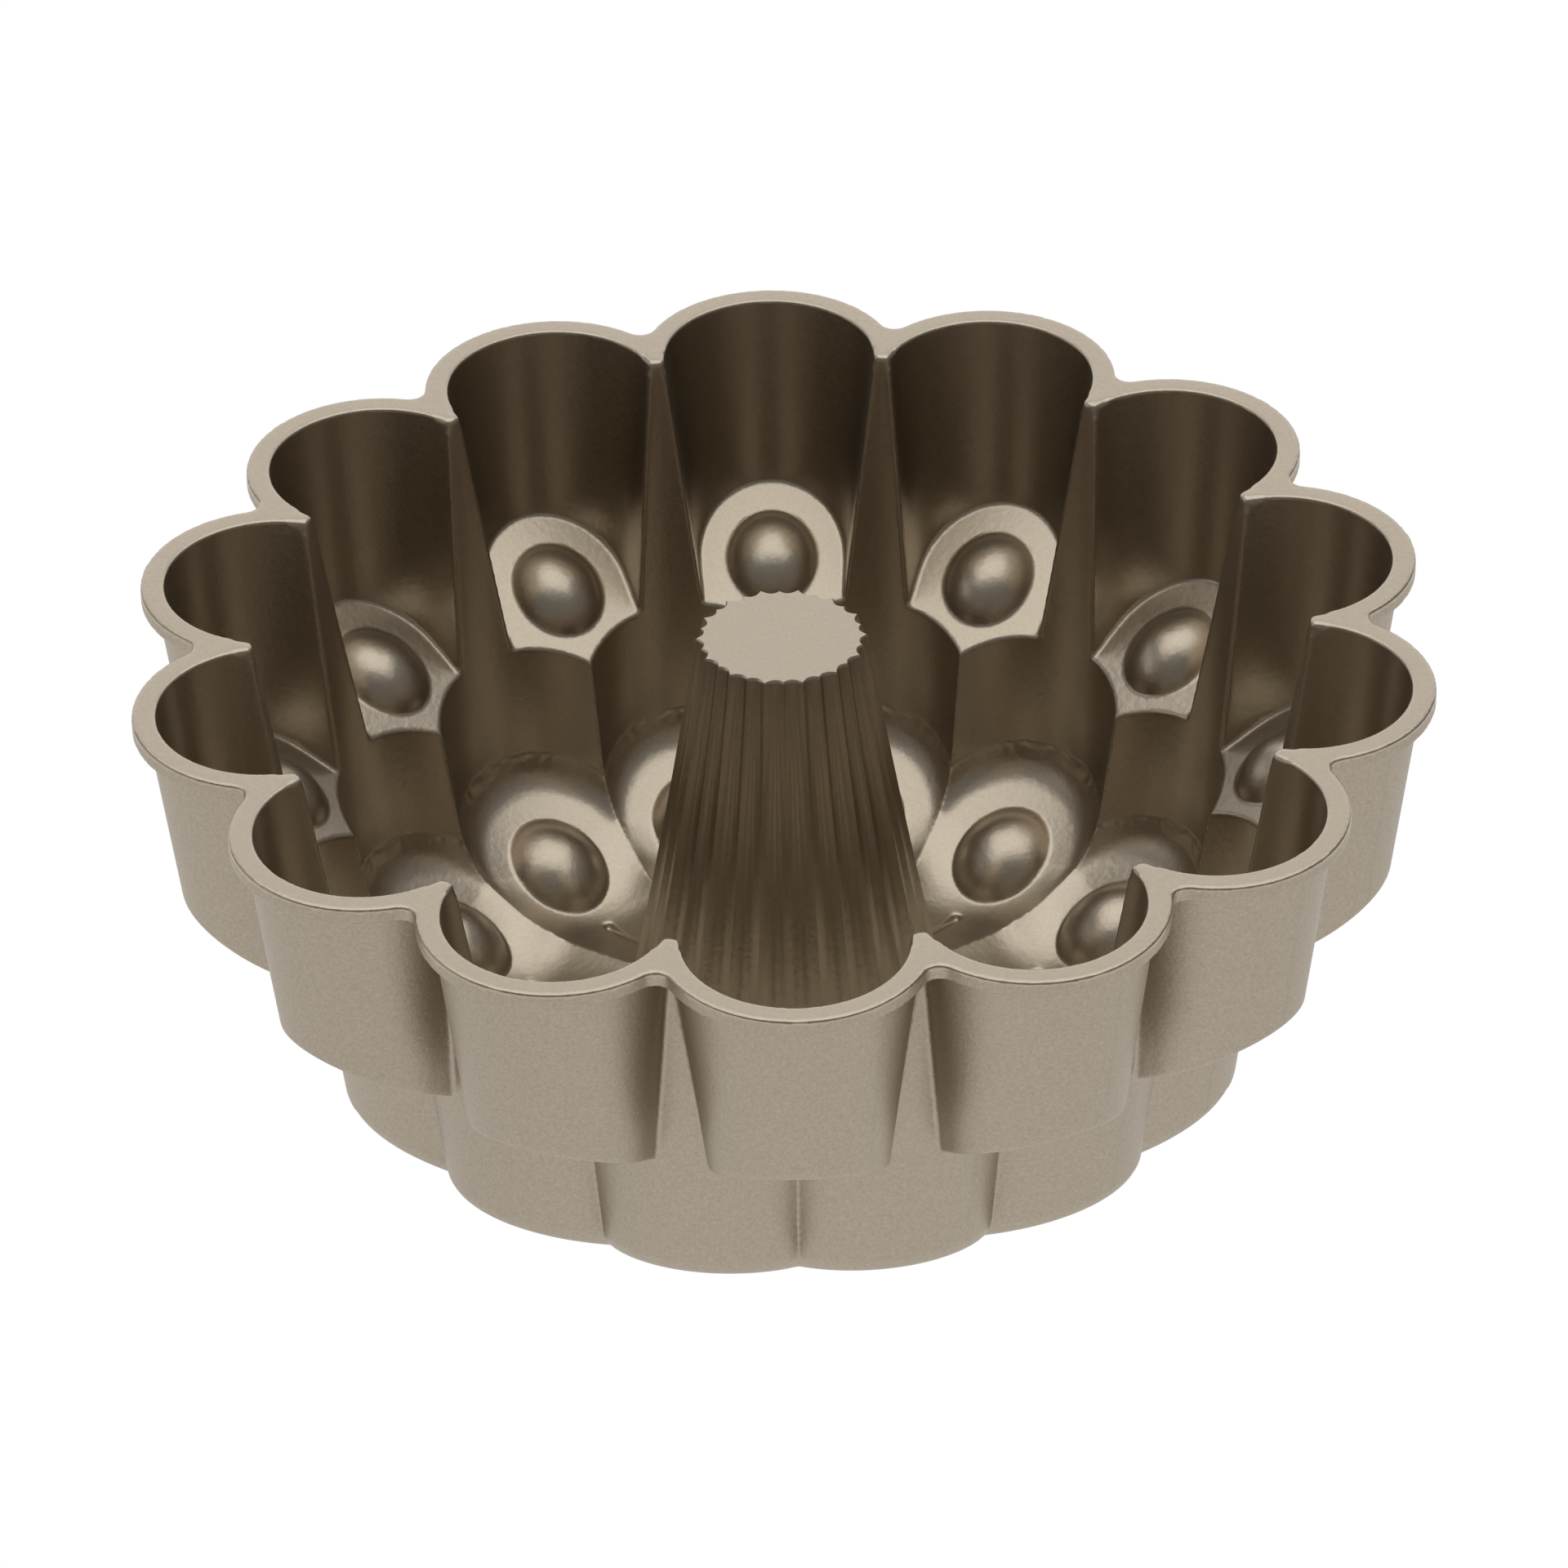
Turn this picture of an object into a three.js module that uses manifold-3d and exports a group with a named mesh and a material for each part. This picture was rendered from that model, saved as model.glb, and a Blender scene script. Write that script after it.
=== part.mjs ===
import * as THREE from 'three';
import { mergeVertices } from 'three/addons/utils/BufferGeometryUtils.js';
import Module from 'manifold-3d';

// Two-tier flower tube pan, one thin die casting. Millimetres, +Z up.
// The origin is on the table plane under the tube; depths are measured down from the rim.

// Whole casting
const HEIGHT = 101;
const DIAMETER = 250;
const PETALS = 14;
const WALL = 2;
const SLOPE = THREE.MathUtils.degToRad(31);
const PITCH = (2 * Math.PI) / PETALS;
const QUARTER = Math.PI / 2;

// Flat rim outside the upper petals, and the strip that it leaves between two of them
const FLANGE_THICKNESS = 3.25;
const FLANGE_WIDTH = 4.5;
const STRIP_WIDTH = 2.526;
const NOTCH_FILLET = 3;

// Upper tier: U-shaped petals that end on sloping, flat ledges
const UPPER_AXIS = (DIAMETER / 2 - FLANGE_WIDTH + STRIP_WIDTH / 2) / (1 + Math.sin(PITCH / 2));
const UPPER_RADIUS = UPPER_AXIS * Math.sin(PITCH / 2) - STRIP_WIDTH / 2;
const UPPER_REACH = 26;
const UPPER_DRAFT = THREE.MathUtils.degToRad(7);
const LEDGE_DEPTH = 49.6;
const LEDGE_FILLET = 0.5;
const LEDGE_EDGE = 1;

// Lower tier: round petals, half a pitch from the upper ones, that end in sloping scoops.
// Each lies one tier step further in than the upper petals and overlaps its neighbours.
// A scoop is hollow across its slope, like a gutter.
const TIER_STEP = 27.6;
const LOWER_OVERLAP = 14.33;
const LOWER_AXIS = UPPER_AXIS - TIER_STEP;
const LOWER_RADIUS = LOWER_AXIS * Math.sin(PITCH / 2) + LOWER_OVERLAP;
const LOWER_DRAFT = THREE.MathUtils.degToRad(8.6);
const SCOOP_LIFT = 5.8;
const SCOOP_DEPTH = HEIGHT - WALL - SCOOP_LIFT;
const SCOOP_FILLET = 1.5;
const SCOOP_EDGE = 1.5;
const SCOOP_CURVE = 45;

// Floor ring round the tube: flat from below, and hollowed inside by a round trough from every scoop
const FLOOR_INSET = 12;
const BOWL_OUTSET = 2;
const FLOOR_RADIUS = LOWER_AXIS - FLOOR_INSET;
const BOWL_RADIUS = LOWER_AXIS + BOWL_OUTSET;
const RIDGE_LIFT = 3.5;
const TROUGH_INSET = 16.2;
const TROUGH_AXIS = LOWER_AXIS - TROUGH_INSET;
const TROUGH_LENGTH = 22;
const TROUGH_RADIUS = 24;
const TROUGH_RISE = THREE.MathUtils.degToRad(12);

// Round bump on every ledge and every scoop, placed from the axis of its petal
const UPPER_BUMP = 9.1;
const UPPER_BUMP_OFFSET = 0.9;
const LOWER_BUMP = 9.8;
const LOWER_BUMP_OFFSET = -0.5;
const BUMP_EDGE = THREE.MathUtils.degToRad(50);

// Fluted tube, closed on top and hollow from below, with a high ridge in line with every lower petal
// and a low one in line with every upper petal
const TUBE_DROP = 1;
const TUBE_RADIUS = 16.3;
const TUBE_TAPER = 0.14;
const TUBE_FLARE = 0.00035;
const TUBE_FOOT = 8;
const CAP_THICKNESS = 3;
const RIDGE_HEIGHT = 1.4;
const SMALL_RIDGE_HEIGHT = 0.8;

// Depths of the planes where one region of the casting ends and the next begins
const LEDGE_ABOVE = 13;
const LEDGE_BELOW = 12;
const FLOOR_BAND = 19;
const LEDGE_TOP = LEDGE_DEPTH - LEDGE_ABOVE;
const LEDGE_BOTTOM = LEDGE_DEPTH + LEDGE_BELOW;
const FLOOR_TOP = HEIGHT - FLOOR_BAND;

// Facets
const UPPER_SIDES = 16;
const LOWER_SIDES = 20;
const FILLET_STEPS = 1;
const TUBE_STEPS = 4;
const BUMP_SIDES = 12;
const BUMP_STEPS = 2;
const TROUGH_SIDES = 16;
const MARGIN = 1;

const wasm = await Module();
wasm.setup();

function solid(geometry) {
  geometry.deleteAttribute('normal');
  geometry.deleteAttribute('uv');
  const merged = mergeVertices(geometry, 1e-4);
  const index = merged.index.array;
  const kept = [];
  for (let i = 0; i < index.length; i += 3) {
    const [a, b, c] = index.slice(i, i + 3);
    if (a !== b && b !== c && c !== a) {
      kept.push(a, b, c);
    }
  }
  const vertProperties = new Float32Array(merged.attributes.position.array);
  const triVerts = new Uint32Array(kept);
  return new wasm.Manifold(new wasm.Mesh({ numProp: 3, vertProperties, triVerts }));
}

// A profile of [radius, height] points turned about the vertical axis
function turned(profile, sides) {
  const points = profile.map(([radius, height]) => new THREE.Vector2(Math.max(radius, 0), height));
  const geometry = new THREE.LatheGeometry(points, sides);
  geometry.rotateX(QUARTER);
  return geometry;
}

function moveVertices(geometry, move) {
  const position = geometry.attributes.position;
  const point = new THREE.Vector3();
  for (let i = 0; i < position.count; i += 1) {
    point.fromBufferAttribute(position, i);
    move(point);
    position.setXYZ(i, point.x, point.y, point.z);
  }
}

// Turns a shape that lies along +X so that it points at an angle counted from the front
function atAngle(geometry, angle) {
  geometry.rotateZ(angle - QUARTER);
  return solid(geometry);
}

const UPPER = {
  axis: UPPER_AXIS,
  radius: UPPER_RADIUS,
  reach: UPPER_REACH,
  draft: Math.tan(UPPER_DRAFT),
  depth: LEDGE_DEPTH,
  fillet: LEDGE_FILLET,
  edge: LEDGE_EDGE,
  curve: Infinity,
  sides: UPPER_SIDES,
  bump: UPPER_BUMP,
  offset: UPPER_BUMP_OFFSET,
};

const LOWER = {
  axis: LOWER_AXIS,
  radius: LOWER_RADIUS,
  reach: 0,
  draft: Math.tan(LOWER_DRAFT),
  depth: SCOOP_DEPTH,
  fillet: SCOOP_FILLET,
  edge: SCOOP_EDGE,
  curve: SCOOP_CURVE,
  sides: LOWER_SIDES,
  bump: LOWER_BUMP,
  offset: LOWER_BUMP_OFFSET,
};

// A drafted cup with a floor that slopes down to the middle of the pan.
// A reach pulls the half next to the middle inwards, which makes the cup a U in plan.
// A curve is the radius that hollows the floor across its slope. The floor meets the wall in a fillet
// on the inside of the casting and in a rounded edge on its outside.
function cup(petal, grow, angle) {
  const { axis, radius, reach, draft, depth, fillet, edge, curve, sides } = petal;
  const floor = HEIGHT - depth - grow / Math.cos(SLOPE);
  const top = HEIGHT + MARGIN;
  const bend = grow > 0 ? edge : fillet;
  const lean = Math.atan(draft);
  const wallAt = (z) => radius + grow - (HEIGHT - z) * draft;
  const centre = wallAt(floor + bend - bend * Math.sin(lean)) - bend * Math.cos(lean);
  const profile = [[0, floor], [centre / 2, floor]];
  for (let i = 0; i <= FILLET_STEPS; i += 1) {
    const turn = (i / FILLET_STEPS) * (QUARTER - lean);
    profile.push([centre + bend * Math.sin(turn), floor + bend - bend * Math.cos(turn)]);
  }
  profile.push([wallAt(top), top]);
  profile.push([0, top]);
  const geometry = turned(profile, sides);
  moveVertices(geometry, (point) => {
    const out = Math.max(Math.hypot(point.x, point.y), 0.001);
    const inward = point.x < -0.01 ? reach : 0;
    const share = 1 - (point.z - floor) / (top - floor);
    const tilt = share * Math.tan(SLOPE);
    const lift = tilt * (point.x - inward) + (share * point.y ** 2) / (2 * curve);
    const rise = lift / (1 - (tilt * draft * point.x) / out);
    const spread = 1 + (rise * draft) / out;
    point.set(point.x * spread - inward + axis, point.y * spread, point.z + rise);
  });
  return atAngle(geometry, angle);
}

// The top of a ball whose centre is sunk under a sloping floor
function bump(petal, grow, angle) {
  const { axis, depth, curve, offset } = petal;
  const ball = petal.bump / Math.sin(BUMP_EDGE);
  const sunk = ball * Math.cos(BUMP_EDGE);
  const round = ball - grow;
  const foot = sunk - grow - MARGIN / 2;
  const profile = [[0, foot]];
  for (let i = BUMP_STEPS; i >= 0; i -= 1) {
    const turn = (i / BUMP_STEPS) * Math.acos(foot / round);
    profile.push([round * Math.sin(turn), round * Math.cos(turn)]);
  }
  const geometry = turned(profile, BUMP_SIDES);
  geometry.scale(1 / Math.cos(SLOPE), 1, 1);
  geometry.translate(0, 0, -sunk);
  geometry.rotateY(-SLOPE);
  geometry.translate(axis + offset, 0, HEIGHT - depth + offset * Math.tan(SLOPE));
  moveVertices(geometry, (point) => {
    point.z += point.y ** 2 / (2 * curve);
  });
  return atAngle(geometry, angle);
}

// A round bar along the floor from under a scoop towards the tube, rising inwards
function trough(grow, angle) {
  const geometry = new THREE.CapsuleGeometry(TROUGH_RADIUS + grow, TROUGH_LENGTH, 2, TROUGH_SIDES);
  geometry.rotateZ(QUARTER);
  geometry.translate(-TROUGH_LENGTH / 2, 0, 0);
  geometry.rotateY(TROUGH_RISE);
  geometry.translate(TROUGH_AXIS, 0, WALL + TROUGH_RADIUS);
  return atAngle(geometry, angle);
}

// Level round the tube, then as steep as the scoops. Inside, the level part is as high as the ridges
// between the troughs.
function bowl(grow) {
  const top = HEIGHT + MARGIN;
  const floor = grow > 0 ? 0 : WALL + RIDGE_LIFT;
  const slant = FLOOR_RADIUS + grow / Math.sin(SLOPE);
  const level = slant + (floor - WALL) / Math.tan(SLOPE);
  const edge = BOWL_RADIUS + grow;
  const step = WALL + (edge - slant) * Math.tan(SLOPE);
  const profile = [[0, floor], [level, floor], [edge, step], [edge, top], [0, top]];
  return solid(turned(profile, PETALS * 2));
}

// The space inside the casting, or with a grow of one wall, its outside
function flower(grow) {
  let body = bowl(grow);
  for (let k = 0; k < PETALS; k += 1) {
    const lower = (k + 0.5) * PITCH;
    body = body.add(cup(UPPER, grow, k * PITCH)).add(cup(LOWER, grow, lower)).add(trough(grow, lower));
  }
  for (let k = 0; k < PETALS; k += 1) {
    body = body.subtract(bump(UPPER, grow, k * PITCH)).subtract(bump(LOWER, grow, (k + 0.5) * PITCH));
  }
  return body.intersect(slab(WALL - grow, HEIGHT + MARGIN));
}

function slab(low, high) {
  const geometry = new THREE.BoxGeometry(2 * DIAMETER, 2 * DIAMETER, high - low);
  geometry.translate(0, 0, (low + high) / 2);
  return solid(geometry);
}

function tubeRadius(depth) {
  return TUBE_RADIUS + TUBE_TAPER * depth + TUBE_FLARE * depth * depth;
}

// Half section of the tube from its foot up: a round foot on the floor, then a flared shaft.
// A shrink gives the same line further in, for the hollow.
function tubeSide(shrink, start) {
  const edge = tubeRadius(HEIGHT - WALL - TUBE_FOOT) + TUBE_FOOT;
  const low = HEIGHT - WALL - TROUGH_RADIUS + TROUGH_RADIUS / Math.cos(TROUGH_RISE);
  const foot = low - (TROUGH_AXIS - edge) * Math.tan(TROUGH_RISE);
  const last = foot - TUBE_FOOT;
  const bend = TUBE_FOOT + shrink;
  const side = [];
  for (let i = 0; i < FILLET_STEPS; i += 1) {
    const turn = (i / FILLET_STEPS) * QUARTER;
    side.push([edge - bend * Math.sin(turn), HEIGHT - last - bend * Math.cos(turn)]);
  }
  const reach = edge - TUBE_FOOT - tubeRadius(last);
  for (let i = TUBE_STEPS; i >= 0; i -= 1) {
    const depth = start + (i / TUBE_STEPS) * (last - start);
    side.push([tubeRadius(depth) + (reach * depth) / last - shrink, HEIGHT - depth]);
  }
  return side;
}

function tube() {
  const side = tubeSide(0, TUBE_DROP);
  const profile = [[0, WALL / 2], [side[0][0], WALL / 2], ...side, [0, HEIGHT - TUBE_DROP]];
  const geometry = turned(profile, PETALS * 4);
  moveVertices(geometry, (point) => {
    const out = Math.max(Math.hypot(point.x, point.y), 0.001);
    const wave = Math.cos(PETALS * Math.atan2(point.y, point.x));
    const ridge = wave > 0 ? RIDGE_HEIGHT * wave : -SMALL_RIDGE_HEIGHT * wave;
    const scale = Math.max(1 - (RIDGE_HEIGHT - ridge) / out, 0);
    point.set(point.x * scale, point.y * scale, point.z);
  });
  return solid(geometry);
}

function hollow() {
  const start = TUBE_DROP + CAP_THICKNESS;
  const side = tubeSide(WALL + RIDGE_HEIGHT, start);
  const profile = [[0, -MARGIN], [side[0][0], -MARGIN], ...side, [0, HEIGHT - start]];
  return solid(turned(profile, PETALS * 2));
}

// Plan of the flange: one round lobe over each upper petal, with rounded notches between them
function flangePlan() {
  const lobe = DIAMETER / 2 - UPPER_AXIS;
  const between = UPPER_AXIS * Math.cos(PITCH / 2);
  const beside = UPPER_AXIS * Math.sin(PITCH / 2);
  const notch = between + Math.sqrt((lobe + NOTCH_FILLET) ** 2 - beside ** 2);
  const swing = Math.atan2(notch * Math.sin(PITCH / 2), notch * Math.cos(PITCH / 2) - UPPER_AXIS);
  const outline = [];
  const arc = (radius, from, to, steps, centre, angle) => {
    for (let i = 0; i < steps; i += 1) {
      const turn = angle - QUARTER + from + (i / steps) * (to - from);
      const x = centre * Math.cos(angle - QUARTER) + radius * Math.cos(turn);
      const y = centre * Math.sin(angle - QUARTER) + radius * Math.sin(turn);
      outline.push(new THREE.Vector2(x, y));
    }
  };
  for (let k = 0; k < PETALS; k += 1) {
    const back = swing - PITCH / 2;
    arc(lobe, -swing, swing, 14, UPPER_AXIS, k * PITCH);
    arc(NOTCH_FILLET, Math.PI + back, Math.PI - back, 4, notch, (k + 0.5) * PITCH);
  }
  return new THREE.Shape(outline);
}

function flange() {
  const geometry = new THREE.ExtrudeGeometry(flangePlan(), { depth: FLANGE_THICKNESS, bevelEnabled: false });
  geometry.translate(0, 0, HEIGHT - FLANGE_THICKNESS);
  return solid(geometry);
}

const inside = flower(0);
const walls = flower(WALL).subtract(inside);
const shaft = tube().subtract(hollow());
const capBottom = HEIGHT - TUBE_DROP - CAP_THICKNESS;
const floorTop = HEIGHT - FLOOR_TOP;

const regions = {
  rim_flange: flange().subtract(inside),
  upper_petal_wall: walls.intersect(slab(HEIGHT - LEDGE_TOP, HEIGHT - FLANGE_THICKNESS)),
  ledge_ring: walls.intersect(slab(HEIGHT - LEDGE_BOTTOM, HEIGHT - LEDGE_TOP)),
  lower_petal_wall: walls.intersect(slab(floorTop, HEIGHT - LEDGE_BOTTOM)),
  scoop_floor: walls.add(shaft).subtract(hollow()).intersect(slab(0, floorTop)),
  tube_wall: shaft.intersect(slab(floorTop, capBottom)),
  tube_cap: shaft.intersect(slab(capBottom, HEIGHT - TUBE_DROP)),
};

const coat = new THREE.MeshStandardMaterial({ color: 0xb5a892, roughness: 0.45, metalness: 0.6 });

const pan = new THREE.Group();
pan.name = 'flower_tube_pan';
for (const [name, body] of Object.entries(regions)) {
  const mesh = body.getMesh();
  const geometry = new THREE.BufferGeometry();
  geometry.setAttribute('position', new THREE.BufferAttribute(mesh.vertProperties, mesh.numProp));
  geometry.setIndex(new THREE.BufferAttribute(mesh.triVerts, 1));
  geometry.computeVertexNormals();
  const piece = new THREE.Mesh(geometry, coat);
  piece.name = name;
  pan.add(piece);
}

export default pan;
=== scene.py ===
# %% [markdown]
# A flower-shaped tube pan for baking, modelled one slice at a time.
# The pan repeats fourteen times round its tube, and each repeat is the mirror image of itself.
# So only a slice of one twenty-eighth is modelled; mirroring and turning it gives the whole pan.

# %% Load the frame
import math

import bpy
from mathutils import Matrix, Vector


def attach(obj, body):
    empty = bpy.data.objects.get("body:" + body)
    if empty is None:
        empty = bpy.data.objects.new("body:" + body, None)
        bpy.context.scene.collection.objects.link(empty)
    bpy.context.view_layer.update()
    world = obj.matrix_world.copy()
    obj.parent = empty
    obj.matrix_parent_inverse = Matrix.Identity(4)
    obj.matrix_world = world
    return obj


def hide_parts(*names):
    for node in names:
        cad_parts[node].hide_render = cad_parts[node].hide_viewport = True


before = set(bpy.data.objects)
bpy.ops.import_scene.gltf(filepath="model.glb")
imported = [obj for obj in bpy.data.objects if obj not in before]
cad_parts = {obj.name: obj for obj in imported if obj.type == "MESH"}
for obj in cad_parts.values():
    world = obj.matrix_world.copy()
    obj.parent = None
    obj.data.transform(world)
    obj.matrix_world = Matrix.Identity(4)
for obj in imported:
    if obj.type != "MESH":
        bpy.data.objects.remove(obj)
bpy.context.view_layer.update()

# %% [markdown]
# All sizes are in millimetres and become metres when a shape is made.
# These few hold for the whole pan; the others stand beside the shape that needs them.
# Half a pitch is the angle of the slice. At angle 0 is the middle of an upper petal.
# At half a pitch is the middle of a lower petal, which sits between two upper ones.

# %% Sizes of the whole pan
MM = 0.001
HEIGHT = 101.0
PETALS = 14
PITCH = 2 * math.pi / PETALS
HALF = PITCH / 2
WALL = 2.0
SLOPE = math.radians(31)
print("one slice spans", round(math.degrees(HALF), 2), "degrees")

# %% [markdown]
# A few short helpers keep the steps readable.
# An operator works on everything that is selected, so each helper clears the selection first.
# Bisect normally leaves points alone that are close to its plane.
# A cut that two copies are joined at has to be exact, so the helper for it asks for a small threshold.

# %% Helpers for selecting
def clear():
    bpy.ops.object.select_all(action="DESELECT")


def only(obj):
    clear()
    obj.select_set(True)
    bpy.context.view_layer.objects.active = obj


def named(name):
    """Names the new primitive and moves its place and size into its mesh."""
    obj = bpy.context.object
    obj.name = name
    bpy.ops.object.transform_apply(location=True, rotation=True, scale=True)
    return obj


def edit(obj):
    only(obj)
    bpy.ops.object.mode_set(mode="EDIT")
    bpy.ops.mesh.select_all(action="SELECT")


def done():
    bpy.ops.object.mode_set(mode="OBJECT")


def pick(obj, test):
    """Selects the vertices whose place passes the test, and stays in edit mode."""
    only(obj)
    mesh = obj.data
    mesh.polygons.foreach_set("select", [False] * len(mesh.polygons))
    mesh.edges.foreach_set("select", [False] * len(mesh.edges))
    mesh.vertices.foreach_set("select", [test(v.co) for v in mesh.vertices])
    bpy.ops.object.mode_set(mode="EDIT")
    bpy.ops.mesh.select_mode(type="VERT")


print("helpers for selecting are ready")

# %% Helpers for shaping
EXACT_CUT = 0.001


def modify(obj, kind, **settings):
    only(obj)
    modifier = obj.modifiers.new(kind.lower(), kind)
    for key, value in settings.items():
        setattr(modifier, key, value)
    bpy.ops.object.modifier_apply(modifier=modifier.name)


def combine(obj, other, operation):
    modify(obj, "BOOLEAN", operation=operation, object=other, solver="MANIFOLD")
    bpy.data.objects.remove(other)


def turn(obj, angle):
    obj.rotation_euler = (0, 0, angle)
    only(obj)
    bpy.ops.object.transform_apply(rotation=True)
    return obj


def cut(obj, place, normal, keep):
    """Cuts a mesh at a plane and keeps its near or its far side, seen along the normal."""
    edit(obj)
    bpy.ops.mesh.bisect(
        plane_co=place, plane_no=normal, threshold=EXACT_CUT * MM,
        clear_inner=keep == "far", clear_outer=keep == "near")
    done()


def ramp(value, start, length):
    """Rises from 0 to 1 over the given length."""
    return min(1, max(0, (value - start) / length))


print("helpers for shaping are ready")

# %% [markdown]
# The space for the batter is built first, as a solid, like a cake that fills the pan.
# A petal is a cone, because a casting needs walls that lean outwards to come out of its mould.
# The upper petals are pulled out towards the middle, so that they are a U seen from above.
# Bisect cuts the sloping ledge in one go, and a bevel softens the edge that it leaves.
# The argument grow makes the same shape larger by the thickness of the wall.

# %% Petals
UPPER = {"axis": 99.6, "radius": 20.9, "draft": math.tan(math.radians(7))}
LOWER = {"axis": 70.0, "radius": 30.5, "draft": math.tan(math.radians(7))}
UPPER_REACH = 26.0
LEDGE_DEPTH = 49.6
UNDER_LEDGE = 30
TOP = HEIGHT + 2
ROUND = 128


def wall_radius(petal, z, grow):
    return petal["radius"] + grow - (HEIGHT - z) * petal["draft"]


def cone(petal, low, grow):
    clear()
    bpy.ops.mesh.primitive_cone_add(
        vertices=ROUND, depth=(TOP - low) * MM, location=(petal["axis"] * MM, 0, (TOP + low) / 2 * MM),
        radius1=wall_radius(petal, low, grow) * MM, radius2=wall_radius(petal, TOP, grow) * MM)
    return named("petal")


def upper_petal(grow, bevel, angle):
    obj = cone(UPPER, HEIGHT - LEDGE_DEPTH - UNDER_LEDGE, grow)
    pick(obj, lambda p: p.x < (UPPER["axis"] - 0.01) * MM)
    bpy.ops.transform.translate(value=(-UPPER_REACH * MM, 0, 0))
    done()
    edit(obj)
    ledge = HEIGHT - LEDGE_DEPTH - grow / math.cos(SLOPE)
    bpy.ops.mesh.bisect(
        plane_co=(UPPER["axis"] * MM, 0, ledge * MM), plane_no=(-math.sin(SLOPE), 0, math.cos(SLOPE)),
        use_fill=True, clear_inner=True)
    bpy.ops.mesh.bevel(offset=bevel * MM, segments=4, affect="EDGES")
    done()
    return turn(obj, angle)


print("an upper petal is", 2 * UPPER["radius"], "mm wide and ends", LEDGE_DEPTH, "mm below the rim")

# %% [markdown]
# A lower petal ends in a scoop, which comes down the slope, turns round a trough and rises to the tube.
# Its middle line is a straight slope, an arc and a straight rise that meet without a corner.
# Across, it is hollow, more so near the tube, and it runs into the wall of its petal with a fillet.

# %% Shape of a scoop
TROUGH_AXIS = 55.8
TROUGH_RADIUS = 24.0
TROUGH_RISE = math.radians(12)
SCOOP_RADIUS = 90.0
SCOOP_OPENS = {"start": TROUGH_AXIS + 2, "length": 16}
FILLET_GROWS = {"start": LOWER["axis"] - 4, "length": 6}


def middle_line(x):
    low = WALL + TROUGH_RADIUS
    slope_start = TROUGH_AXIS + TROUGH_RADIUS * math.sin(SLOPE)
    rise_start = TROUGH_AXIS - TROUGH_RADIUS * math.sin(TROUGH_RISE)
    if x > slope_start:
        return low - TROUGH_RADIUS * math.cos(SLOPE) + (x - slope_start) * math.tan(SLOPE)
    if x < rise_start:
        return low - TROUGH_RADIUS * math.cos(TROUGH_RISE) + (rise_start - x) * math.tan(TROUGH_RISE)
    return low - math.sqrt(TROUGH_RADIUS ** 2 - (x - TROUGH_AXIS) ** 2)


def scoop_height(x, y, grow, fillet):
    outer = ramp(x, **SCOOP_OPENS)
    hollow = (1 - outer) / TROUGH_RADIUS + outer / SCOOP_RADIUS
    z = middle_line(x) + y * y / 2 * hollow - grow / math.cos(SLOPE)
    gap = min(fillet, max(0, wall_radius(LOWER, z, grow) - math.hypot(x - LOWER["axis"], y)))
    return z + ramp(x, **FILLET_GROWS) * (fillet - math.sqrt(fillet ** 2 - (fillet - gap) ** 2))


print("the trough is lowest at", round(middle_line(TROUGH_AXIS), 2), "mm above the table")

# %% [markdown]
# No primitive has this shape, so a grid takes it from the formula, two neighbours at once.
# Extruded up and made level at the top, the grid becomes a block that can be used in a boolean.
# Its middle row is where the two neighbours meet, and there it leaves the ridge between them.

# %% Floor block
FLOOR_NEAR = 30
FLOOR_FAR = 106
FLOOR_SIDE = 36


def floor_block(grow, fillet):
    clear()
    bpy.ops.mesh.primitive_grid_add(x_subdivisions=100, y_subdivisions=96, size=1)
    obj = bpy.context.object
    obj.scale = ((FLOOR_FAR - FLOOR_NEAR) * MM, 2 * FLOOR_SIDE * MM, 1)
    obj.location = ((FLOOR_NEAR + FLOOR_FAR) / 2 * MM, 0, 0)
    named("floor")
    cos = math.cos(HALF)
    sin = math.sin(HALF)
    for vertex in obj.data.vertices:
        x = vertex.co.x / MM
        y = abs(vertex.co.y) / MM
        vertex.co.z = scoop_height(x * cos + y * sin, y * cos - x * sin, grow, fillet) * MM
    edit(obj)
    bpy.ops.mesh.extrude_region_move(TRANSFORM_OT_translate={"value": (0, 0, HEIGHT * MM)})
    bpy.ops.transform.resize(value=(1, 1, 0), center_override=(0, 0, (HEIGHT + 10) * MM))
    bpy.ops.mesh.select_all(action="SELECT")
    bpy.ops.mesh.normals_make_consistent(inside=False)
    done()
    return obj


print("the floor block covers", FLOOR_FAR - FLOOR_NEAR, "mm outwards from the tube")

# %% [markdown]
# Every ledge and every scoop carries a round bump, the top of a ball that is sunk under the floor.
# It is stretched along the slope, so that it looks round from straight above.
# The casting is equally thick there, so under each bump the outside has a hollow.

# %% Bumps
UPPER_BUMP = {"radius": 9.1, "at": 100.6, "level": 52.0}
LOWER_BUMP = {"radius": 10.0, "at": 71.5, "level": 7.5}
BUMP_EDGE = math.radians(58)


def bump(place, grow, angle):
    ball = place["radius"] / math.sin(BUMP_EDGE)
    sunk = ball * math.cos(BUMP_EDGE)
    centre = Vector((place["at"] + sunk * math.sin(SLOPE), 0, place["level"] - sunk * math.cos(SLOPE)))
    clear()
    bpy.ops.mesh.primitive_uv_sphere_add(
        segments=64, ring_count=32, radius=(ball - grow) * MM, location=centre * MM,
        rotation=(0, -SLOPE, 0), scale=(1 / math.cos(SLOPE), 1, 1))
    return turn(named("bump"), angle)


print("an upper bump stands", round(UPPER_BUMP["radius"] * math.tan(BUMP_EDGE / 2), 1), "mm proud")

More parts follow.
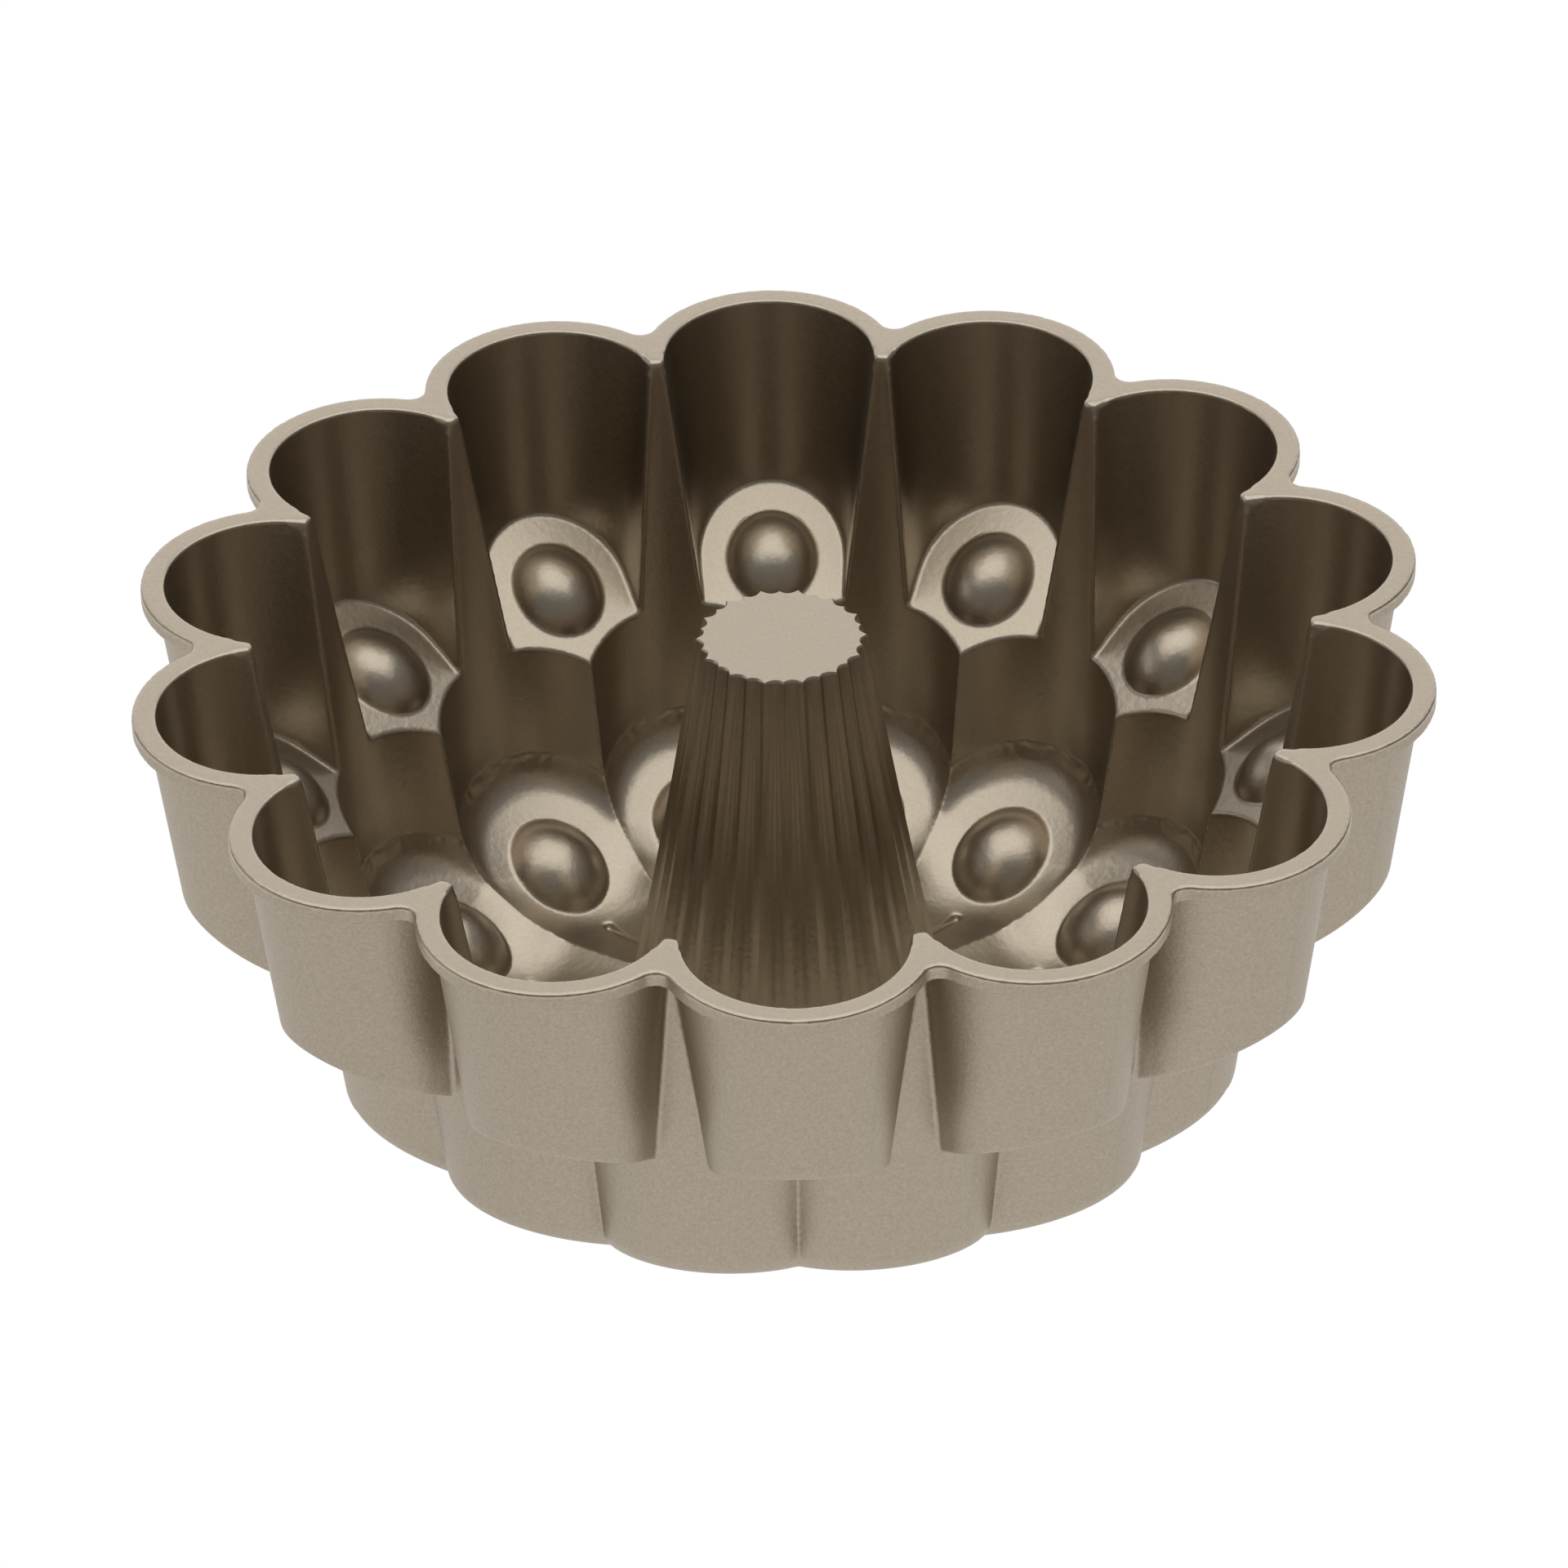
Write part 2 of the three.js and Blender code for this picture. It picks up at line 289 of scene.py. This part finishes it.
# %% [markdown]
# The filling joins these shapes: a drum in the middle and two lower petals, ended by the floor block.
# Two upper petals are added, and the bumps are taken away.
# It is made twice: as it is for the inside of the pan, and larger by the wall for the outside.
# The outside also gets a shallow bowl with a flat bottom, which is the ring that the pan stands on.

# %% Filling
FLOOR_RADIUS = 60.5
BOWL_RADIUS = 76.0
BOWL_LEVEL = 9.3
DRUM_LOW = -5
PETAL_LOW = -20


def drum(radius, low):
    clear()
    bpy.ops.mesh.primitive_cylinder_add(
        vertices=PETALS * 8, radius=radius * MM, depth=(TOP - low) * MM,
        location=(0, 0, (TOP + low) / 2 * MM))
    return named("drum")


def filling(grow, ledge_bevel, fillet):
    obj = drum(FLOOR_RADIUS, DRUM_LOW)
    for angle in (-HALF, HALF):
        combine(obj, turn(cone(LOWER, PETAL_LOW, grow), angle), "UNION")
    combine(obj, floor_block(grow, fillet), "INTERSECT")
    for angle in (0, PITCH):
        combine(obj, upper_petal(grow, ledge_bevel, angle), "UNION")
    combine(obj, bump(UPPER_BUMP, grow, 0), "DIFFERENCE")
    combine(obj, bump(LOWER_BUMP, grow, HALF), "DIFFERENCE")
    return obj


inside = filling(0, ledge_bevel=0.3, fillet=4.5)
outside = filling(WALL, ledge_bevel=1.0, fillet=2.5)
bowl = drum(BOWL_RADIUS, BOWL_LEVEL)
pick(bowl, lambda p: p.z < (BOWL_LEVEL + 1) * MM)
bpy.ops.mesh.extrude_region_move(TRANSFORM_OT_translate={"value": (0, 0, -BOWL_LEVEL * MM)})
narrower = FLOOR_RADIUS / BOWL_RADIUS
bpy.ops.transform.resize(value=(narrower, narrower, 1), center_override=(0, 0, 0))
done()
combine(outside, bowl, "UNION")
print("inside", len(inside.data.polygons), "faces, outside", len(outside.data.polygons), "faces")

# %% [markdown]
# The flat rim is a plate with one round lobe over each upper petal.
# A small block joins two lobes, and a drill of the notch's radius rounds the corner between them.
# The drill touches both lobes, so its place follows from the two radii.

# %% Rim plate
RIM_RADIUS = 25.4
RIM_THICKNESS = 3.25
RIM_MIDDLE = HEIGHT - RIM_THICKNESS / 2
NOTCH_FILLET = 3.0
BRIDGE_START = 98


def lobe(angle):
    clear()
    bpy.ops.mesh.primitive_cylinder_add(
        vertices=ROUND, radius=RIM_RADIUS * MM, depth=RIM_THICKNESS * MM,
        location=(UPPER["axis"] * MM, 0, RIM_MIDDLE * MM))
    return turn(named("lobe"), angle)


rim = lobe(0)
combine(rim, lobe(PITCH), "UNION")
across = UPPER["axis"] * math.sin(HALF)
along = UPPER["axis"] * math.cos(HALF)
notch = along + math.sqrt((RIM_RADIUS + NOTCH_FILLET) ** 2 - across ** 2)
share = RIM_RADIUS / (RIM_RADIUS + NOTCH_FILLET)
reach = along + (notch - along) * share
clear()
bpy.ops.mesh.primitive_cube_add(
    size=1, scale=((reach - BRIDGE_START) * MM, 2 * across * (1 - share) * MM, RIM_THICKNESS * MM),
    location=((reach + BRIDGE_START) / 2 * MM, 0, RIM_MIDDLE * MM))
combine(rim, turn(named("bridge"), HALF), "UNION")
clear()
bpy.ops.mesh.primitive_cylinder_add(
    vertices=48, radius=NOTCH_FILLET * MM, depth=20 * MM, location=(notch * MM, 0, HEIGHT * MM))
combine(rim, turn(named("drill"), HALF), "DIFFERENCE")
print("notch bottom at", round(notch - NOTCH_FILLET, 1), "mm from the axis")

# %% [markdown]
# The casting is the outer shape and the rim, less the filling.
# Blocks first cut both solids down to a little more than one slice.
# A voxel remesh then melts each into one clean skin, because a boolean needs closed meshes.

# %% One slice of the casting
BEYOND = 400
VOXEL = 0.35
TUBE_HOLE = 38.5


def block(name, low, high):
    clear()
    bpy.ops.mesh.primitive_cube_add(
        size=1, scale=(BEYOND * MM, BEYOND * MM, (high - low) * MM), location=(0, 0, (low + high) / 2 * MM))
    return named(name)


def trim(obj, margin):
    """Keeps the slice and a margin on either side of it, as one closed skin."""
    for angle, side in ((-margin, -1), (HALF + margin, 1)):
        clear()
        bpy.ops.mesh.primitive_cube_add(size=BEYOND * MM, location=(0, side * BEYOND / 2 * MM, 0))
        combine(obj, turn(named("beside"), angle), "DIFFERENCE")
    modify(obj, "REMESH", mode="VOXEL", voxel_size=VOXEL * MM)
    print(obj.name, "trimmed to", len(obj.data.polygons), "faces")


casting = outside
casting.name = "casting_slice"
combine(casting, block("above", HEIGHT, HEIGHT + 50), "DIFFERENCE")
combine(casting, block("below", -50, 0), "DIFFERENCE")
combine(casting, rim, "UNION")
trim(casting, margin=math.radians(2.5))
trim(inside, margin=math.radians(4))
combine(casting, inside, "DIFFERENCE")
clear()
bpy.ops.mesh.primitive_cylinder_add(
    vertices=PETALS * 8, radius=TUBE_HOLE * MM, depth=BEYOND * MM, location=(0, 0, 0))
combine(casting, named("tube_hole"), "DIFFERENCE")
print("hollow slice:", len(casting.data.polygons), "faces")

# %% [markdown]
# A thin bar cuts the short groove that runs from the foot of each scoop towards the tube.
# The result is remeshed once more, and a light smooth rounds every edge, as the coat does on the casting.
# The tips between two petals are smoothed more, as they are rounder in the real pan.
# Decimate then takes away the faces that flat stretches don't need.

# %% Groove and finish of the slice
GROOVE = {"radius": 0.9, "at": 45.0, "length": 24, "lift": 0.3}
TIP_AT = 101.5
TIP_REACH = 3.5
FACES_KEPT = 0.12

clear()
bpy.ops.mesh.primitive_cylinder_add(
    vertices=24, radius=GROOVE["radius"] * MM, depth=GROOVE["length"] * MM,
    location=(GROOVE["at"] * MM, 0, (middle_line(GROOVE["at"]) + GROOVE["lift"]) * MM),
    rotation=(0, math.pi / 2 + TROUGH_RISE, 0))
combine(casting, turn(named("groove"), HALF), "DIFFERENCE")
modify(casting, "REMESH", mode="VOXEL", voxel_size=VOXEL * MM)
modify(casting, "SMOOTH", factor=0.5, iterations=5)
tip = Vector((TIP_AT * math.cos(HALF), TIP_AT * math.sin(HALF), HEIGHT)) * MM
tips = casting.vertex_groups.new(name="tips")
tips.add([v.index for v in casting.data.vertices if (v.co - tip).length < TIP_REACH * MM], 1.0, "REPLACE")
modify(casting, "SMOOTH", factor=0.5, iterations=40, vertex_group="tips")
print("remeshed slice:", len(casting.data.polygons), "faces")
modify(casting, "DECIMATE", ratio=FACES_KEPT)
for angle, keep in ((0, "far"), (HALF, "near")):
    cut(casting, (0, 0, 0), (-math.sin(angle), math.cos(angle), 0), keep)
print("finished slice:", len(casting.data.polygons), "faces")

# %% [markdown]
# The slice is cut level into three bands, which keeps each finished piece light.
# Each band is mirrored into a full petal and spun round the tube.
# The doubles along the seams are merged, so that each band is one skin all the way round.

# %% Bands round the pan
LEDGE_LEVEL = HEIGHT - LEDGE_DEPTH
BAND_ABOVE = LEDGE_LEVEL + 13
BAND_BELOW = LEDGE_LEVEL - 12
MERGE = 0.02


def band(name, low, high):
    only(casting)
    bpy.ops.object.duplicate()
    obj = bpy.context.object
    obj.name = name
    for level, keep in ((low, "far"), (high, "near")):
        if level is not None:
            cut(obj, (0, 0, level * MM), (0, 0, 1), keep)
    modify(obj, "MIRROR", use_axis=(False, True, False), merge_threshold=MERGE * MM)
    edit(obj)
    bpy.ops.mesh.spin(
        steps=PETALS, angle=2 * math.pi, dupli=True, center=(0, 0, 0), axis=(0, 0, 1), use_auto_merge=False)
    bpy.ops.mesh.select_all(action="SELECT")
    bpy.ops.mesh.remove_doubles(threshold=MERGE * MM)
    done()
    turn(obj, -math.pi / 2)
    only(obj)
    bpy.ops.object.shade_smooth()
    modify(obj, "WEIGHTED_NORMAL", weight=50, keep_sharp=False)
    print(name, sum(len(p.vertices) - 2 for p in obj.data.polygons), "triangles")
    return obj


upper_petals = band("upper_petals", BAND_ABOVE, None)
ledges = band("ledges", BAND_BELOW, BAND_ABOVE)
scoops = band("scoops", None, BAND_BELOW)
bpy.data.objects.remove(casting)

# %% [markdown]
# The tube flares towards its foot, so that the cake slides off it. Depths are counted from the rim.
# A circle at the foot is extruded up ring by ring, each ring scaled to its radius.
# The top is closed by a face, and the wall gets its thickness inwards.

# %% Tube
TUBE_DROP = 1.0
FOOT_DEPTH = 96.2
FOOT_FILLET = 8.0
SHAFT_END = FOOT_DEPTH - FOOT_FILLET
SHAFT_START = 1.6
FOOT_STEPS = 6
SHAFT_STEPS = 12


def tube_radius(depth):
    return 16.3 + 0.1465 * depth + 0.00035 * depth * depth


rings = []
for i in range(FOOT_STEPS + 1):
    t = i / FOOT_STEPS * math.pi / 2
    flare = FOOT_FILLET * (1 - math.sin(t))
    rings.append((tube_radius(SHAFT_END) + flare, FOOT_DEPTH - FOOT_FILLET * (1 - math.cos(t))))
for i in range(1, SHAFT_STEPS + 1):
    depth = SHAFT_END + (SHAFT_START - SHAFT_END) * i / SHAFT_STEPS
    rings.append((tube_radius(depth), depth))
rings += [(tube_radius(1.3) - 0.06, 1.25), (tube_radius(1) - 0.3, TUBE_DROP)]
clear()
bpy.ops.mesh.primitive_circle_add(
    vertices=PETALS * 16, radius=rings[0][0] * MM, location=(0, 0, (HEIGHT - rings[0][1]) * MM))
tube = named("tube")
edit(tube)
for (before, low), (after, high) in zip(rings, rings[1:]):
    bpy.ops.mesh.extrude_region_move(TRANSFORM_OT_translate={"value": (0, 0, (low - high) * MM)})
    bpy.ops.transform.resize(
        value=(after / before, after / before, 1), center_override=(0, 0, (HEIGHT - high) * MM))
bpy.ops.mesh.edge_face_add()
bpy.ops.mesh.inset(thickness=3 * MM)
done()
print("tube has", len(rings), "rings")

# %% [markdown]
# The flutes are scallops between sharp ridges; every second ridge is lower.
# A formula moves the points of the wall inwards, less and less towards the foot, which is round.
# The flat middle of the top stays as it is.

# %% Flutes
CAP_RADIUS = 14.0
LOW_RIDGE = 0.6
SCALLOP = 1.0
FLUTES_START = {"start": 5.5, "length": 10}

for vertex in tube.data.vertices:
    p = vertex.co
    out = math.hypot(p.x, p.y)
    if out < CAP_RADIUS * MM:
        continue
    place = math.atan2(p.y, p.x) / PITCH % 1
    between = 2 * min(place, 1 - place)
    depth = LOW_RIDGE * between + SCALLOP * (1 - (2 * between - 1) ** 2)
    scale = 1 - depth * ramp(p.z / MM, **FLUTES_START) * MM / out
    p.x *= scale
    p.y *= scale
edit(tube)
bpy.ops.mesh.normals_make_consistent(inside=False)
done()
modify(tube, "SOLIDIFY", thickness=WALL * MM, offset=-1)
only(tube)
bpy.ops.object.shade_smooth_by_angle(angle=math.radians(35))
print("tube", len(tube.data.polygons), "faces")

# %% [markdown]
# The coat is a champagne metallic paint. Inside it is satin; outside it is matt and slightly grainy.
# Small noise in the bump gives the orange-peel grain that sprayed coats have.
# A finer noise mixes two close colours, which is the fleck of the metal powder in the paint.

# %% Coats
FLECK_SCALE = 1600
GRAIN_HEIGHT = 0.2


def noise(nodes, links, place, scale, detail):
    texture = nodes.new("ShaderNodeTexNoise")
    texture.inputs["Scale"].default_value = scale
    texture.inputs["Detail"].default_value = detail
    links.new(place.outputs["Object"], texture.inputs["Vector"])
    return texture.outputs["Fac"]


def coat(name, colour, dark, roughness, grain, depth):
    material = bpy.data.materials.new(name)
    material.use_nodes = True
    nodes = material.node_tree.nodes
    links = material.node_tree.links
    shader = nodes["Principled BSDF"]
    shader.inputs["Metallic"].default_value = 1.0
    shader.inputs["Roughness"].default_value = roughness
    place = nodes.new("ShaderNodeTexCoord")
    flecks = nodes.new("ShaderNodeValToRGB")
    for element, position, paint in zip(flecks.color_ramp.elements, (0.3, 0.7), (dark, colour)):
        element.position = position
        element.color = (*paint, 1)
    links.new(noise(nodes, links, place, FLECK_SCALE, 3), flecks.inputs["Fac"])
    links.new(flecks.outputs["Color"], shader.inputs["Base Color"])
    peel = nodes.new("ShaderNodeBump")
    peel.inputs["Strength"].default_value = depth
    peel.inputs["Distance"].default_value = GRAIN_HEIGHT * MM
    links.new(noise(nodes, links, place, grain, 2), peel.inputs["Height"])
    links.new(peel.outputs["Normal"], shader.inputs["Normal"])
    return material


inner_coat = coat("satin_inside", (0.47, 0.405, 0.32), (0.43, 0.37, 0.29), 0.33, 700, 0.25)
outer_coat = coat("matt_outside", (0.48, 0.415, 0.33), (0.40, 0.345, 0.27), 0.5, 1300, 0.30)
print("materials:", inner_coat.name, outer_coat.name)

# %% [markdown]
# Every inside wall of a casting leans back, so its faces look a little upwards.
# The outside walls look a little down. So the direction of a face tells which coat it has.

# %% Coats on the pieces
FACES_UP = 0.02

for obj in (upper_petals, ledges, scoops):
    obj.data.materials.clear()
    obj.data.materials.append(inner_coat)
    obj.data.materials.append(outer_coat)
    for face in obj.data.polygons:
        face.material_index = 0 if face.normal.z > FACES_UP else 1
tube.data.materials.append(inner_coat)
print("coats on", upper_petals.name, ledges.name, scoops.name, tube.name)

# %% [markdown]
# Each finished piece says which CAD nodes it stands for, and that it belongs to the one body.
# The whole pan is one casting, so all pieces hang from the same body.

# %% Frame
for obj, nodes in (
        (upper_petals, ("rim_flange", "upper_petal_wall")),
        (ledges, ("ledge_ring",)),
        (scoops, ("lower_petal_wall", "scoop_floor")),
        (tube, ("tube_wall", "tube_cap"))):
    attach(obj, "root")
    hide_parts(*nodes)
    print(obj.name, "stands for", *nodes)

# %% [markdown]
# The pan stands on a white table. To the camera and in reflections the table is plain white.
# To the light it is a pale matt surface, so that it doesn't light the pan more than a table would.

# %% Table
def seen_white(tree, surface, rays):
    """Shows plain white to the named kinds of ray, and the given surface to all others."""
    glow = tree.nodes.new("ShaderNodeEmission")
    glow.inputs["Color"].default_value = (1, 1, 1, 1)
    path = tree.nodes.new("ShaderNodeLightPath")
    for ray in rays:
        mix = tree.nodes.new("ShaderNodeMixShader")
        tree.links.new(path.outputs[ray], mix.inputs["Fac"])
        tree.links.new(surface, mix.inputs[1])
        tree.links.new(glow.outputs["Emission"], mix.inputs[2])
        surface = mix.outputs["Shader"]
    return surface


clear()
bpy.ops.mesh.primitive_plane_add(size=6, location=(0, 0, -0.0005))
table = named("table")
white = bpy.data.materials.new("table_white")
white.use_nodes = True
tree = white.node_tree
matt = tree.nodes["Principled BSDF"]
matt.inputs["Base Color"].default_value = (0.8, 0.8, 0.8, 1)
matt.inputs["Roughness"].default_value = 0.9
surface = seen_white(tree, matt.outputs["BSDF"], ("Is Camera Ray", "Is Glossy Ray"))
tree.links.new(surface, tree.nodes["Material Output"].inputs["Surface"])
table.data.materials.append(white)
print("table", tuple(round(v, 2) for v in table.dimensions), "m")

# %% [markdown]
# A wide soft box hangs over the pan, a white panel stands behind it, and a weaker one on the left.
# The front is left dim, which gives the inside walls and the bumps their dark sides.
# A panel's level is how bright it looks, so its power grows with its area.

# %% Light
def panel(name, place, target, width, height, level):
    clear()
    bpy.ops.object.light_add(type="AREA", location=place)
    light = bpy.context.object
    light.name = name
    light.rotation_euler = (Vector(target) - Vector(place)).to_track_quat("-Z", "Y").to_euler()
    light.data.shape = "RECTANGLE"
    light.data.size = width
    light.data.size_y = height
    light.data.energy = level * math.pi * width * height
    print(name, "panel:", round(light.data.energy, 1), "W")


panel("overhead", (0, 0.45, 1.6), (0, 0.45, 0), 2.2, 2.0, 1.25)
panel("behind", (0, 2.2, 1.0), (0, 0, 1.0), 4.0, 1.8, 0.95)
panel("left", (-2.0, 0.3, 0.9), (0, 0.3, 0.9), 2.0, 1.2, 0.5)

world = bpy.data.worlds.new("studio")
bpy.context.scene.world = world
world.use_nodes = True
tree = world.node_tree
sky = tree.nodes["Background"]
sky.inputs["Color"].default_value = (1, 1, 1, 1)
sky.inputs["Strength"].default_value = 0.22
surface = seen_white(tree, sky.outputs["Background"], ("Is Camera Ray",))
tree.links.new(surface, tree.nodes["World Output"].inputs["Surface"])

# %% [markdown]
# The camera stands in front of the pan and looks down on it, with a long lens.
# It is turned a little to the side and rolled a little, and the pan is slightly off its middle.

# %% Camera
AZIMUTH = math.radians(-0.9562)
ELEVATION = math.radians(34.722)
ROLL = math.radians(-0.8897)
AIM = Vector((0, 0, 100.3)) * MM
DISTANCE = 1583.2 * MM
SHIFT_RIGHT = 0.467 * MM
SHIFT_UP = -28.315 * MM

scene = bpy.context.scene
scene.view_settings.view_transform = "Standard"
back = Vector((
    math.sin(AZIMUTH) * math.cos(ELEVATION), -math.cos(AZIMUTH) * math.cos(ELEVATION), math.sin(ELEVATION)))
level = Vector((math.cos(AZIMUTH), math.sin(AZIMUTH), 0))
rise = back.cross(level)
right = math.cos(ROLL) * level + math.sin(ROLL) * rise
up = -math.sin(ROLL) * level + math.cos(ROLL) * rise
camera_data = bpy.data.cameras.new("camera")
camera_data.lens = 191.4
camera_data.sensor_width = 36
camera = bpy.data.objects.new("camera", camera_data)
scene.collection.objects.link(camera)
place = AIM + back * DISTANCE + right * SHIFT_RIGHT + up * SHIFT_UP
camera.matrix_world = Matrix((
    (right.x, up.x, back.x, place.x),
    (right.y, up.y, back.y, place.y),
    (right.z, up.z, back.z, place.z),
    (0, 0, 0, 1)))
scene.camera = camera
print("camera at", tuple(round(v, 3) for v in place))
